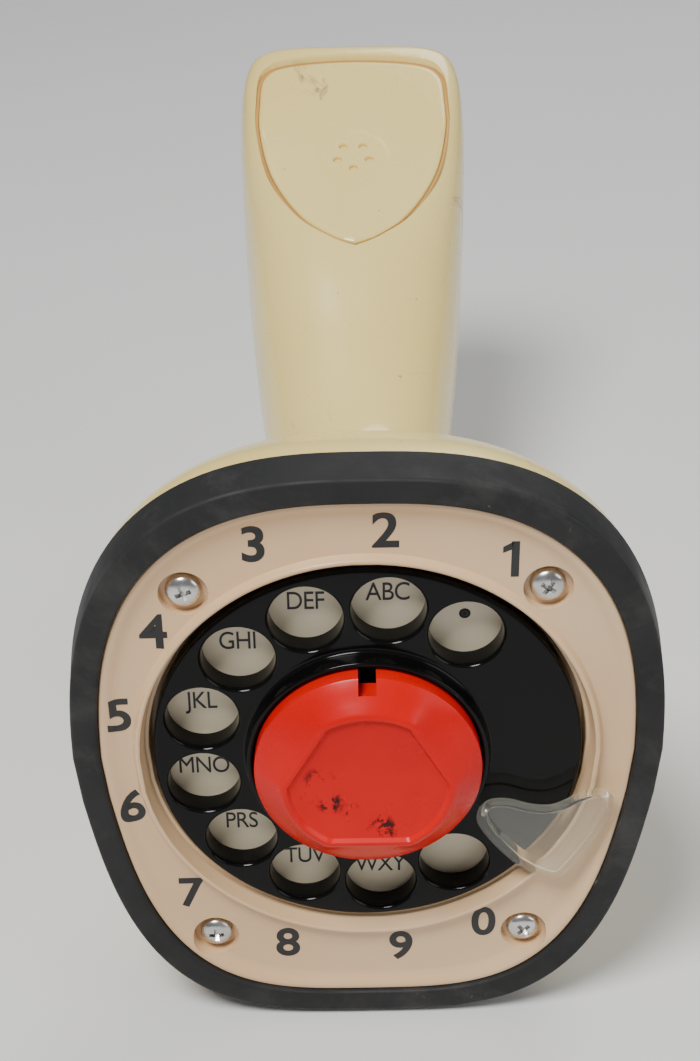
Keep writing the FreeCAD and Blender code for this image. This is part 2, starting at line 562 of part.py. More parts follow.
for x in (-17, 17):
    rails.append(Part.makeBox(4.0, 4.0, 16.0, at(x - 2.0, 50.0, -59.0)).common(inner))
feature("board_rails", Part.makeCompound(rails))

# ---------------------------------------------------------------- checks and files
doc.recompute()
for obj in doc.Objects:
    if "Invalid" in obj.State or "Error" in obj.State:
        raise RuntimeError("%s did not recompute: %s" % (obj.Name, obj.State))
for node, obj in NODES:
    if obj.Shape.isNull() or not obj.Shape.isValid() or not obj.Shape.Solids:
        raise RuntimeError("%s has no valid solid" % node)
os.makedirs("parts", exist_ok=True)
for node, obj in NODES:
    obj.Shape.exportStep("parts/%s.step" % node)
    box = obj.Shape.BoundBox
    print("%-20s %9.0f mm3  %6.1f..%6.1f  %6.1f..%6.1f  %6.1f..%6.1f" % (
        node, obj.Shape.Volume, box.XMin, box.XMax, box.YMin, box.YMax, box.ZMin, box.ZMax))
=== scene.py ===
import math

import bmesh
import bpy
from mathutils import Matrix, Vector
from mathutils.bvhtree import BVHTree


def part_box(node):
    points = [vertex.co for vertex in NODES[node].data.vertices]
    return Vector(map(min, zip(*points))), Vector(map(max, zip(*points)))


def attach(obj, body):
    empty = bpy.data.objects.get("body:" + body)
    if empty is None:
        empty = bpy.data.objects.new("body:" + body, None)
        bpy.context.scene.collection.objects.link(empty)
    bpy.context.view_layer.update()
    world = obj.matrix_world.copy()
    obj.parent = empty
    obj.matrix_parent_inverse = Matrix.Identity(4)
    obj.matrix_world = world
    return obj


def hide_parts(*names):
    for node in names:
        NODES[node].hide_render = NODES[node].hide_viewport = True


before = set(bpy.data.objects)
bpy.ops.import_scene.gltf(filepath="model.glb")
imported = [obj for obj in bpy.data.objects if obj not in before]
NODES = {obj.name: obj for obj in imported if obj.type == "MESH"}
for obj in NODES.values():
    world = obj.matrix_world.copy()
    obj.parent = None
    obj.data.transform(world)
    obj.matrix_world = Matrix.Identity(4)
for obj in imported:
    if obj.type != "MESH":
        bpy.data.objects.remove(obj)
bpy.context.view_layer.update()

MM = 0.001

# ---------------------------------------------------------------- the shared frame
spindle_low, spindle_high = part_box("dial_spindle")
ring_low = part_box("foot_ring")[0]
DIAL_Z = (spindle_low[2] + spindle_high[2]) / 2
FOOT_Y = ring_low[1]


def at(x, y, z):
    """A point from the dial's centre in the foot plane, in millimetres, as a point of the row's frame."""
    return Vector((x * MM, FOOT_Y + y * MM, DIAL_Z + z * MM))


# ---------------------------------------------------------------- node helpers for materials
class Mat:
    def __init__(self, name):
        self.mat = bpy.data.materials.new(name)
        self.mat.use_nodes = True
        self.tree = self.mat.node_tree
        self.bsdf = self.tree.nodes["Principled BSDF"]
        self.coords = self.tree.nodes.new("ShaderNodeTexCoord").outputs["Object"]

    def link(self, a, b):
        self.tree.links.new(a, b)

    def noise(self, scale, detail=4.0, rough=0.55, stretch=(1, 1, 1), distort=0.0):
        mapping = self.tree.nodes.new("ShaderNodeMapping")
        mapping.inputs["Scale"].default_value = stretch
        self.link(self.coords, mapping.inputs["Vector"])
        node = self.tree.nodes.new("ShaderNodeTexNoise")
        node.inputs["Scale"].default_value = scale
        node.inputs["Detail"].default_value = detail
        node.inputs["Roughness"].default_value = rough
        node.inputs["Distortion"].default_value = distort
        self.link(mapping.outputs["Vector"], node.inputs["Vector"])
        return node.outputs["Fac"]

    def ramp(self, fac, stops):
        node = self.tree.nodes.new("ShaderNodeValToRGB")
        elements = node.color_ramp.elements
        while len(elements) < len(stops):
            elements.new(0.5)
        for element, (place, colour) in zip(elements, stops):
            element.position = place
            element.color = (*colour, 1) if len(colour) == 3 else colour
        self.link(fac, node.inputs["Fac"])
        return node.outputs["Color"]

    def step(self, fac, low, high):
        return self.ramp(fac, [(low, (0, 0, 0)), (high, (1, 1, 1))])

    def put(self, value, socket):
        if isinstance(value, bpy.types.NodeSocket):
            self.link(value, socket)
        elif isinstance(value, (tuple, list)):
            socket.default_value = (*value, 1) if len(value) == 3 else value
        else:
            socket.default_value = value

    def colour_mix(self, fac, a, b):
        node = self.tree.nodes.new("ShaderNodeMixRGB")
        self.put(fac, node.inputs["Fac"])
        self.put(a, node.inputs["Color1"])
        self.put(b, node.inputs["Color2"])
        return node.outputs["Color"]

    def maths(self, op, a, b=0.0):
        node = self.tree.nodes.new("ShaderNodeMath")
        node.operation = op
        self.put(a, node.inputs[0])
        self.put(b, node.inputs[1])
        return node.outputs["Value"]

    def bump(self, height, strength=0.2, distance=0.0002, base=None):
        node = self.tree.nodes.new("ShaderNodeBump")
        node.inputs["Strength"].default_value = strength
        node.inputs["Distance"].default_value = distance
        self.link(height, node.inputs["Height"])
        if base is not None:
            self.link(base, node.inputs["Normal"])
        return node.outputs["Normal"]

    def finish(self, colour, rough, normal=None, **plain):
        self.put(colour, self.bsdf.inputs["Base Color"])
        self.put(rough, self.bsdf.inputs["Roughness"])
        if normal is not None:
            self.link(normal, self.bsdf.inputs["Normal"])
        for key, value in plain.items():
            self.bsdf.inputs[key.replace("_", " ")].default_value = value
        return self.mat

    def near(self, centre, radius):
        """1 at the centre, falling to 0 at the radius."""
        node = self.tree.nodes.new("ShaderNodeVectorMath")
        node.operation = "DISTANCE"
        self.link(self.coords, node.inputs[0])
        node.inputs[1].default_value = centre
        share = self.maths("DIVIDE", node.outputs["Value"], radius)
        return self.ramp(share, [(0.55, (1, 1, 1)), (1.0, (0, 0, 0))])


def plastic(name, deep, light, rough, coat=0.4, marks=None, marks_low=0.66, marks_high=0.72):
    m = Mat(name)
    tone = m.noise(22, 3, 0.5)
    colour = m.colour_mix(m.step(tone, 0.35, 0.7), deep, light)
    if marks is not None:
        smear = m.noise(95, 6, 0.7, (1, 0.45, 1), 0.6)
        region = m.noise(14, 2, 0.5)
        fac = m.maths("MULTIPLY", m.step(smear, marks_low, marks_high), m.step(region, 0.55, 0.68))
        colour = m.colour_mix(fac, colour, marks)
    fine = m.noise(900, 3, 0.6)
    scratch = m.noise(500, 2, 0.5, (1, 0.06, 1), 0.2)
    roughness = m.ramp(m.noise(60, 5, 0.6), [(0.3, (rough,) * 3), (0.75, (rough + 0.14,) * 3)])
    normal = m.bump(fine, 0.05, 0.0001)
    normal = m.bump(scratch, 0.04, 0.0001, normal)
    return m.finish(colour, roughness, normal, Coat_Weight=coat, Coat_Roughness=0.12)


def metal(name, deep, light, rough, stretch=(1, 1, 1)):
    m = Mat(name)
    colour = m.colour_mix(m.step(m.noise(180, 5, 0.6), 0.35, 0.72), deep, light)
    roughness = m.ramp(m.noise(400, 4, 0.6, stretch), [(0.3, (rough,) * 3), (0.75, (rough + 0.2,) * 3)])
    normal = m.bump(m.noise(1200, 2, 0.5, stretch), 0.08, 0.00005)
    return m.finish(colour, roughness, normal, Metallic=1.0)


def shell_material():
    """Cream plastic, yellowed in patches, with small dark scuffs."""
    m = Mat("cream_shell")
    tone = m.noise(9, 3, 0.5)
    colour = m.colour_mix(m.step(tone, 0.35, 0.68), (0.84, 0.64, 0.20), (0.90, 0.73, 0.29))
    warm = m.step(m.noise(16, 4, 0.6, (1, 0.7, 1)), 0.55, 0.8)
    colour = m.colour_mix(m.maths("MULTIPLY", warm, 0.35), colour, (0.72, 0.44, 0.10))
    smear = m.step(m.noise(75, 7, 0.72, (1.0, 0.35, 1.0), 0.9), 0.6, 0.68)
    region = m.step(m.noise(15, 2, 0.5), 0.5, 0.6)
    colour = m.colour_mix(m.maths("MULTIPLY", smear, region), colour, (0.23, 0.15, 0.08))
    specks = m.step(m.noise(420, 2, 0.5), 0.74, 0.78)
    colour = m.colour_mix(m.maths("MULTIPLY", specks, 0.6), colour, (0.30, 0.2, 0.1))
    roughness = m.ramp(m.noise(45, 5, 0.6), [(0.3, (0.2,) * 3), (0.75, (0.36,) * 3)])
    normal = m.bump(m.noise(35, 2, 0.5), 0.05, 0.0008)
    normal = m.bump(m.noise(700, 3, 0.6, (1, 0.2, 1)), 0.035, 0.0001, normal)
    return m.finish(colour, roughness, normal, Coat_Weight=0.5, Coat_Roughness=0.08,
                    Subsurface_Weight=0.06, Subsurface_Scale=0.004)


def rubber_material():
    """Black rubber with pale dust and scuffs on the worn edges."""
    m = Mat("black_rubber")
    dust = m.step(m.noise(38, 6, 0.7, (1, 1, 1), 0.4), 0.5, 0.8)
    colour = m.colour_mix(m.maths("MULTIPLY", dust, 0.55), (0.012, 0.012, 0.012), (0.085, 0.083, 0.08))
    scuff = m.step(m.noise(260, 6, 0.75, (1, 1, 1), 0.8), 0.64, 0.7)
    worn = m.step(m.noise(20, 3, 0.6), 0.55, 0.68)
    colour = m.colour_mix(m.maths("MULTIPLY", scuff, worn), colour, (0.34, 0.33, 0.31))
    roughness = m.ramp(m.noise(90, 4, 0.6), [(0.3, (0.5,) * 3), (0.7, (0.78,) * 3)])
    normal = m.bump(m.noise(600, 6, 0.7), 0.3, 0.00015)
    return m.finish(colour, roughness, normal, Specular_IOR_Level=0.35)


def black_gloss():
    """Black glossy plastic with lint and fine scratches."""
    m = Mat("black_gloss")
    lint = m.step(m.noise(520, 3, 0.7, (1, 1, 1), 1.2), 0.7, 0.75)
    area = m.step(m.noise(24, 2, 0.5), 0.5, 0.66)
    colour = m.colour_mix(m.maths("MULTIPLY", lint, area), (0.003, 0.003, 0.003), (0.08, 0.08, 0.078))
    roughness = m.ramp(m.noise(70, 5, 0.65), [(0.35, (0.08,) * 3), (0.8, (0.2,) * 3)])
    normal = m.bump(m.noise(480, 4, 0.6), 0.03, 0.0001)
    return m.finish(colour, roughness, normal, Coat_Weight=0.0, Specular_IOR_Level=0.16)


FACE_DEPTH = -6.3
GRIME_SPOTS = [(-8.2, 1.0, 3.0), (-9.6, -1.6, 2.4), (-6.4, -3.6, 2.6), (-3.0, -5.6, 2.2), (1.6, -8.2, 2.8),
               (3.2, -9.4, 2.2)]


def red_button():
    """Glossy red plastic with black grime rubbed into the face."""
    m = Mat("red_button")
    tone = m.step(m.noise(40, 3, 0.5), 0.3, 0.7)
    colour = m.colour_mix(tone, (0.55, 0.0015, 0.0015), (0.68, 0.003, 0.002))
    grime = m.step(m.noise(330, 6, 0.75, (1, 1, 0.6), 0.5), 0.5, 0.56)
    for x, z, size in GRIME_SPOTS:
        spot = m.near(at(x, FACE_DEPTH, z), size * MM)
        colour = m.colour_mix(m.maths("MULTIPLY", grime, spot), colour, (0.02, 0.004, 0.004))
    roughness = m.ramp(m.noise(120, 4, 0.6), [(0.3, (0.2,) * 3), (0.8, (0.34,) * 3)])
    normal = m.bump(m.noise(800, 4, 0.6), 0.03, 0.0001)
    return m.finish(colour, roughness, normal, Coat_Weight=0.0, Specular_IOR_Level=0.2)


def clear_material():
    m = Mat("clear_stop")
    tint = m.colour_mix(m.step(m.noise(160, 4, 0.6), 0.4, 0.75), (0.97, 0.96, 0.88), (0.9, 0.88, 0.76))
    roughness = m.ramp(m.noise(300, 4, 0.6), [(0.3, (0.01,) * 3), (0.8, (0.06,) * 3)])
    normal = m.bump(m.noise(500, 3, 0.6), 0.015, 0.0001)
    return m.finish(tint, roughness, normal, Transmission_Weight=0.97, IOR=1.3)


SHELL = shell_material()
RUBBER = rubber_material()
GLOSS = black_gloss()
RED = red_button()
CLEAR = clear_material()
# Darker orange-brown for the seal at the bottom of the earpiece groove and for the sound-hole walls: painted
# shade in the groove and holes.
GROOVE_SHADE = plastic("groove_painted_shade", (0.52, 0.27, 0.06), (0.62, 0.36, 0.1), 0.5, 0.0)
PLATE = plastic("beige_plate", (0.66, 0.43, 0.23), (0.72, 0.50, 0.29), 0.3, 0.35, (0.34, 0.24, 0.15),
                0.68, 0.74)
LETTERS = plastic("letter_plate_face", (0.84, 0.72, 0.50), (0.88, 0.77, 0.56), 0.38, 0.1, (0.4, 0.32, 0.22))
INK = plastic("black_ink", (0.008, 0.008, 0.008), (0.02, 0.02, 0.02), 0.42, 0.0)
STEEL = metal("worn_nickel", (0.52, 0.51, 0.49), (0.74, 0.73, 0.71), 0.16)
# Near-black colour for the insides of the screws' cross slots.
SLOT_DARK = plastic("slot_near_black", (0.03, 0.025, 0.02), (0.07, 0.06, 0.05), 0.7, 0.0)
ZINC = metal("zinc_plate", (0.42, 0.42, 0.4), (0.6, 0.6, 0.58), 0.3, (1, 1, 0.2))
BRASS = metal("brass", (0.55, 0.38, 0.14), (0.74, 0.55, 0.24), 0.25)
BROWN = plastic("brown_insulator", (0.09, 0.035, 0.015), (0.14, 0.06, 0.03), 0.4, 0.0)
BOARD = plastic("laminate_board", (0.3, 0.17, 0.06), (0.4, 0.24, 0.1), 0.5, 0.0)
PALE = plastic("pale_plastic", (0.6, 0.58, 0.5), (0.7, 0.68, 0.6), 0.4, 0.0)

CAD_LOOKS = {
    "receiver_capsule": ZINC, "receiver_clip": BROWN, "dial_spindle": BRASS, "main_gear": BRASS,
    "idler_pinion": BRASS, "idler_gear": BRASS, "idler_shaft": STEEL, "pulse_cam": BROWN,
    "governor_pinion": BRASS, "governor_shaft": STEEL, "governor_weights": BRASS, "governor_cup": BRASS,
    "dial_bridge": ZINC, "dial_frame": ZINC, "bridge_pillars": STEEL, "bridge_screws": STEEL,
    "main_spring": ZINC, "spring_post": STEEL, "pulse_contacts": BROWN, "hook_lever": ZINC,
    "hook_lever_pin": STEEL, "hook_bracket": ZINC, "hook_switch_stack": BROWN, "hook_return_spring": STEEL,
    "microphone_capsule": ZINC, "microphone_holder": BROWN, "network_board": BOARD,
    "induction_coil": BROWN, "network_capacitor": ZINC, "cord_grommet": RUBBER, "board_rails": SHELL,
    "hook_plunger": PALE, "letter_plate": LETTERS,
    "housing_shell": SHELL, "earpiece_cap": SHELL, "earpiece_seal": GROOVE_SHADE, "foot_ring": RUBBER,
    "base_plate": PLATE, "plate_screws": STEEL, "finger_wheel": GLOSS, "finger_stop": CLEAR,
    "hook_button": RED,
}
for node, look in CAD_LOOKS.items():
    mesh = NODES[node].data
    mesh.materials.clear()
    mesh.materials.append(look)


# ---------------------------------------------------------------- mesh helpers
def piece(name, verts, faces, body, look, smooth=True, replaces=()):
    mesh = bpy.data.meshes.new(name)
    mesh.from_pydata([tuple(v) for v in verts], [], faces)
    mesh.materials.append(look)
    obj = bpy.data.objects.new(name, mesh)
    bpy.context.scene.collection.objects.link(obj)
    bm = bmesh.new()
    bm.from_mesh(mesh)
    bmesh.ops.recalc_face_normals(bm, faces=bm.faces)
    bm.to_mesh(mesh)
    bm.free()
    for poly in mesh.polygons:
        poly.use_smooth = smooth
    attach(obj, body)
    if replaces:
        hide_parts(*replaces)
    return obj


def loops_surface(loops, cap_first=False, cap_last=False, closed_ring=False):
    """Vertices and quads of a skin through loops of equal count."""
    count = len(loops[0])
    verts = [p for loop in loops for p in loop]
    faces = []
    last = len(loops) if closed_ring else len(loops) - 1
    for i in range(last):
        a = i * count
        b = ((i + 1) % len(loops)) * count
        for k in range(count):
            n = (k + 1) % count
            faces.append((a + k, a + n, b + n, b + k))
    if cap_first:
        faces.append(tuple(range(count)))
    if cap_last:
        start = (len(loops) - 1) * count
        faces.append(tuple(range(start, start + count)))
    return verts, faces


def turned(name, profile, body, look, replaces=(), steps=128, centre=(0.0, 0.0), closed=True):
    """A closed profile of (radius, depth) points, turned about the dial's axis or another parallel to it."""
    loops = []
    for radius, y in profile:
        loop = []
        for k in range(steps):
            turn = 2 * math.pi * k / steps
            loop.append(at(centre[0] + radius * math.cos(turn), y, centre[1] + radius * math.sin(turn)))
        loops.append(loop)
    verts, faces = loops_surface(loops, closed_ring=closed, cap_first=not closed, cap_last=not closed)
    return piece(name, verts, faces, body, look, True, replaces)


def rounded(points, radius, steps=4):
    """The closed profile with its corners rounded."""
    out = []
    count = len(points)
    for i in range(count):
        p = Vector(points[i])
        a = Vector(points[i - 1]) - p
        b = Vector(points[(i + 1) % count]) - p
        r = min(radius, a.length * 0.45, b.length * 0.45)
        start = p + a.normalized() * r
        end = p + b.normalized() * r
        for k in range(steps + 1):
            u = k / steps
            out.append(tuple((1 - u) ** 2 * start + 2 * u * (1 - u) * p + u * u * end))
    return out


def boolean(obj, cutters, operation="DIFFERENCE"):
    """obj with each cutter taken away, written back to its mesh."""
    for cutter in cutters:
        modifier = obj.modifiers.new("cut", "BOOLEAN")
        modifier.operation = operation
        modifier.solver = "EXACT"
        modifier.object = cutter
        depsgraph = bpy.context.evaluated_depsgraph_get()
        mesh = bpy.data.meshes.new_from_object(obj.evaluated_get(depsgraph))
        obj.modifiers.clear()
        old = obj.data
        obj.data = mesh
        bpy.data.meshes.remove(old)
        bpy.data.objects.remove(cutter)
    soften(obj)


def soften(obj, angle=32):
    mesh = obj.data
    for poly in mesh.polygons:
        poly.use_smooth = True
    mesh.set_sharp_from_angle(angle=math.radians(angle))


def tool(name, verts, faces, look):
    """A cutter for a boolean: a closed mesh that never shows."""
    mesh = bpy.data.meshes.new(name)
    mesh.from_pydata([tuple(v) for v in verts], [], faces)
    mesh.materials.append(look)
    bm = bmesh.new()
    bm.from_mesh(mesh)
    bmesh.ops.recalc_face_normals(bm, faces=bm.faces)
    bm.to_mesh(mesh)
    bm.free()
    obj = bpy.data.objects.new(name, mesh)
    bpy.context.scene.collection.objects.link(obj)
    return obj


def turned_tool(profile, centre, look, steps=48, frame_of=None):
    """A cutter of (radius, depth) rings, round the dial's axis or in the frame that frame_of gives."""
    place = frame_of or (lambda a, b, y: at(centre[0] + a, y, centre[1] + b))
    loops = []
    for radius, y in profile:
        loops.append([place(radius * math.cos(2 * math.pi * k / steps),
                            radius * math.sin(2 * math.pi * k / steps), y)
                      for k in range(steps)])
    verts, faces = loops_surface(loops, cap_first=True, cap_last=True)
    return tool("cutter", verts, faces, look)


# ---------------------------------------------------------------- outlines, as on the CAD model
# Place along the telephone, half width, front, widest height, back, squareness of front and back.
STATIONS = [
    (7.4, 49.6, 54.4, -2.0, -58.0, 2.7, 3.4), (14.0, 49.3, 53.8, -2.5, -58.2, 2.65, 3.2),
    (25.0, 46.8, 49.4, -5.0, -58.2, 2.5, 2.8), (40.0, 41.6, 38.6, -10.0, -58.2, 2.4, 2.4),
    (60.0, 32.8, 21.5, -18.0, -58.2, 2.3, 2.3), (80.0, 25.0, 9.0, -24.0, -57.9, 2.25, 2.25),
    (100.0, 20.2, 1.8, -27.0, -56.4, 2.2, 2.2), (120.0, 19.9, 1.8, -25.0, -52.0, 2.2, 2.2),
    (140.0, 21.7, 14.2, -15.0, -44.6, 2.4, 2.2), (160.0, 24.4, 30.6, -3.0, -34.0, 3.0, 2.3),
    (180.0, 26.6, 39.8, 8.0, -20.0, 4.8, 2.35), (198.0, 28.0, 48.8, 20.0, -3.0, 7.0, 2.4),
    (210.0, 28.2, 54.4, 33.0, 13.5, 7.0, 2.5), (217.0, 27.4, 57.6, 42.0, 26.0, 6.0, 2.7),
    (221.5, 25.6, 58.9, 48.0, 36.0, 5.0, 2.8), (223.9, 21.0, 58.2, 51.0, 44.0, 3.6, 2.6),
]
SIDES = 144


FOOT_TAPER = 0.165


def outline(y, half_width, front, widest, back, square, square_back):
    loop = []
    taper = FOOT_TAPER * min(max(1 - (y - 10) / 45, 0), 1)
    for k in range(SIDES):
        turn = 2 * math.pi * (k + 0.5) / SIDES
        c = math.cos(turn)
        s = math.sin(turn)
        depth = front - widest if s > 0 else widest - back
        power = 2 / (square if s > 0 else square_back)
        x = half_width * math.copysign(abs(c) ** power, c)
        z = widest + depth * math.copysign(abs(s) ** power, s)
        if s < 0:
            x *= 1 - taper * (widest - z) / depth
        loop.append(at(x, y, z))
    return loop


def plate_outline(y, grow):
    return outline(y, 44.8 + grow, 49.3 + grow, -2.0, -52.7 - grow, 2.7, 3.4)


def circle(y, radius):
    """A loop round the dial, with its points at the same bearings as the plate's outline."""
    loop = []
    for p in plate_outline(y, 0.0):
        x = p.x
        z = p.z - DIAL_Z
        length = math.hypot(x, z)
        loop.append(Vector((x / length * radius * MM, p.y, DIAL_Z + z / length * radius * MM)))
    return loop


def station_at(u):
    """The outline's numbers between stations, by Catmull-Rom through them."""
    i = min(int(u), len(STATIONS) - 2)
    t = u - i
    rows = [STATIONS[max(0, min(len(STATIONS) - 1, i + j))] for j in (-1, 0, 1, 2)]
    out = []
    for column in range(7):
        a, b, c, d = (row[column] for row in rows)
        out.append(0.5 * (2 * b + (c - a) * t + (2 * a - 5 * b + 4 * c - d) * t * t
                          + (3 * b - a - 3 * c + d) * t * t * t))
    return out


def skin(inset):
    loops = []
    steps = 6 * (len(STATIONS) - 1)
    for k in range(steps + 1):
        y, half, front, widest, back, square, square_back = station_at(k * (len(STATIONS) - 1) / steps)
        thick = inset * (1.0 + 1.4 * min(max((y - 130) / 30, 0), 1))
        if inset and (y > 212 or half < 2 * thick):
            continue
        loops.append(outline(y, half - thick, front - thick, widest, back + thick, square, square_back))
    if not inset:
        tip = loops[-1]
        middle = sum(tip, Vector()) / len(tip)
        for scale, out in ((0.9, 2.4), (0.72, 4.2), (0.4, 5.2)):
            loops.append([middle + (p - middle) * scale + Vector((0, out * MM * 0.2, 0)) for p in tip])
    return loops


# ---------------------------------------------------------------- housing
FACE_ANGLE = math.radians(24.6)
FACE_UP = Vector((0, math.cos(FACE_ANGLE), math.sin(FACE_ANGLE)))
FACE_OUT = Vector((0, -math.sin(FACE_ANGLE), math.cos(FACE_ANGLE)))
FACE_CENTRE = at(0, 186.5, 43.2)
FACE_HALF_LENGTH = 31.0
FACE_HALF_WIDTH = 24.4
SHIELD = [(0.0, -1.0), (0.24, -0.91), (0.56, -0.68), (0.85, -0.24), (0.98, 0.25), (0.99, 0.6),
          (0.94, 0.93), (0.68, 1.07), (0.0, 1.12)]


def face_point(x, along, out):
    return FACE_CENTRE + Vector((x * MM, 0, 0)) + (FACE_UP * along + FACE_OUT * out) * MM


def shield(grow, steps=12):
    """The shield outline of the earpiece's face: one side from the chin to the crown, mirrored."""
    half = FACE_HALF_WIDTH + grow
    length = FACE_HALF_LENGTH + grow
    ends = [SHIELD[0]] + SHIELD + [(-SHIELD[-2][0], SHIELD[-2][1])]
    right = []
    for i in range(1, len(ends) - 2):
        for k in range(steps):
            t = k / steps
            point = []
            for a, b, c, d in zip(ends[i - 1], ends[i], ends[i + 1], ends[i + 2]):
                point.append(0.5 * (2 * b + (c - a) * t + (2 * a - 5 * b + 4 * c - d) * t * t
                                    + (3 * b - a - 3 * c + d) * t * t * t))
            right.append((point[0] * half, point[1] * length))
    right.append((0.0, SHIELD[-1][1] * length))
    left = [(-x, v) for x, v in reversed(right[1:-1])]
    return right + left


outer_skin = skin(0.0)
inner_skin = skin(2.4)
verts, faces = loops_surface(list(reversed(inner_skin)) + outer_skin, cap_first=True, cap_last=True)
housing = piece("housing_shell_visual", verts, faces, "housing", SHELL, True, ("housing_shell",))
recess = []
for grow, out in ((-1.0, -2.6), (-0.45, -2.45), (-0.1, -2.0), (0.1, -0.4), (0.5, 0.2), (1.2, 0.6), (1.4, 30)):
    recess.append([face_point(x, v, out) for x, v in shield(grow)])
verts, faces = loops_surface(recess, cap_first=True, cap_last=True)
boolean(housing, [tool("recess", verts, faces, SHELL)])
housing.data.set_sharp_from_angle(angle=math.radians(50))

# ---------------------------------------------------------------- earpiece
HOLE_RING = 4.1


def dished(x, along, base):
    """The face is dished, with a faint raised disc round the sound holes."""
    reach = min(math.hypot(x / FACE_HALF_WIDTH, along / FACE_HALF_LENGTH), 1.0)
    disc = min(max((8.9 - math.hypot(x, along)) / 0.6, 0), 1)
    return base - 1.1 * (1 - reach ** 2) + 0.14 * disc


cap_loops = [[face_point(x, v, -2.9) for x, v in shield(-1.0)]]
for grow, out in ((-1.0, -1.5), (-1.05, -1.1), (-1.3, -0.85), (-1.7, -0.75)):
    cap_loops.append([face_point(x, v, out) for x, v in shield(grow)])
rim = shield(-1.9)
CAP_RINGS = 48
for k in range(CAP_RINGS):
    scale = 1 - k / CAP_RINGS
    cap_loops.append([face_point(x * scale, v * scale, dished(x * scale, v * scale, -0.72)) for x, v in rim])
verts, faces = loops_surface(cap_loops, cap_first=True, cap_last=True)
earpiece = piece("earpiece_cap_visual", verts, faces, "housing", SHELL, True, ("earpiece_cap",))
holes = []
for k in range(5):
    turn = math.radians(-90 + 72 * k)
    cx = HOLE_RING * math.cos(turn)
    cv = HOLE_RING * math.sin(turn)
    # The hole cutters carry the darker groove colour onto the sound-hole walls: painted shade inside the
    # holes.
    holes.append(turned_tool([(1.0, -6), (1.0, -1.95), (1.25, -1.6), (1.6, 0.5)], None, GROOVE_SHADE, 24,
                             lambda a, b, y, cx=cx, cv=cv: face_point(cx + a, cv + b, y)))
boolean(earpiece, holes)
# The seal at the bottom of the earpiece groove takes the darker groove colour: painted shade in the groove.
seal_loops = []
for grow, out in ((-0.96, -2.9), (-0.96, -1.7), (-0.05, -1.45), (-0.05, -2.9)):
    seal_loops.append([face_point(x, v, out) for x, v in shield(grow)])
verts, faces = loops_surface(seal_loops, closed_ring=True)
piece("earpiece_seal_visual", verts, faces, "housing", GROOVE_SHADE, True, ("earpiece_seal",))

# ---------------------------------------------------------------- rubber ring and beige plate
ring_profile = rounded([(0.12, 8.4), (0.12, 0.0), (4.6, 0.0), (5.4, 8.4)], 0.8, 5)
verts, faces = loops_surface([plate_outline(y, g) for g, y in ring_profile], closed_ring=True)
ring = piece("foot_ring_visual", verts, faces, "housing", RUBBER, True, ("foot_ring",))
soften(ring, 40)

plate_loops = []
for grow, y in ((-1.2, 4.1), (0.0, 4.0), (0.05, 1.2), (-0.15, 0.95), (-0.6, 0.9), (-1.1, 1.05), (-1.8, 1.55),
                (-2.5, 2.0), (-3.4, 2.2)):
    plate_loops.append(plate_outline(y, grow))
for radius, y in ((40.3, 2.25), (39.6, 2.1), (39.3, 1.6), (39.2, 1.0), (38.95, 0.7), (38.6, 0.6), (38.3,
                                                                                                   0.75),
                  (38.15, 1.2), (37.75, 4.0), (37.6, 4.2), (37.1, 4.3), (36.95, 4.6), (36.85, 9.2),
                  (12.0, 9.2),
                  (10.0, 9.3), (10.0, 11.1), (38.0, 11.1), (40.8, 9.0), (40.9, 4.6)):
    plate_loops.append(circle(y, radius))
verts, faces = loops_surface(plate_loops, closed_ring=True)
plate = piece("base_plate_visual", verts, faces, "housing", PLATE, True, ("base_plate",))
SCREWS = [(-29.2, 32.5), (29.2, 32.5), (-27.6, -40.2), (27.6, -40.2)]
boolean(plate, [turned_tool([(4.15, 0.0), (4.1, 2.05), (4.05, 2.35), (4.02, 2.8), (4.0, 3.9)], (x, z), PLATE)
                for x, z in SCREWS])

# Screws with a domed cross-slotted head.
screws = []
for number, (x, z) in enumerate(SCREWS):
    profile = [(2.9, 3.85), (2.95, 3.4), (2.9, 3.05), (2.6, 2.6), (2.0, 2.25), (1.2, 2.05), (0.3, 2.0)]
    loops = []
    for radius, y in profile:
        loops.append([at(x + radius * math.cos(2 * math.pi * k / 48), y,
                         z + radius * math.sin(2 * math.pi * k / 48))
                      for k in range(48)])
    verts, faces = loops_surface(loops, cap_first=True, cap_last=True)
    screw = piece("plate_screw_%d" % (number + 1), verts, faces, "housing", STEEL, True,
                  ("plate_screws",))
    # Cutters for the cross slots, carrying the near-black slot colour onto their insides.
    slots = []
    for turn in (20 + 37 * number, 110 + 37 * number):
        c = math.cos(math.radians(turn))
        s = math.sin(math.radians(turn))
        corners = []
        for y, wide, long in ((1.5, 0.42, 1.75), (3.1, 0.3, 0.7)):
            for a, b in ((-1, -1), (1, -1), (1, 1), (-1, 1)):
                corners.append(at(x + a * long * c - b * wide * s, y, z + a * long * s + b * wide * c))
        slots.append(tool("slot", corners, [(0, 1, 2, 3), (4, 5, 6, 7), (0, 1, 5, 4), (1, 2, 6, 5), (2,
                                                                                                     3, 7, 6),
                                            (3, 0, 4, 7)], SLOT_DARK))
    boolean(screw, slots)

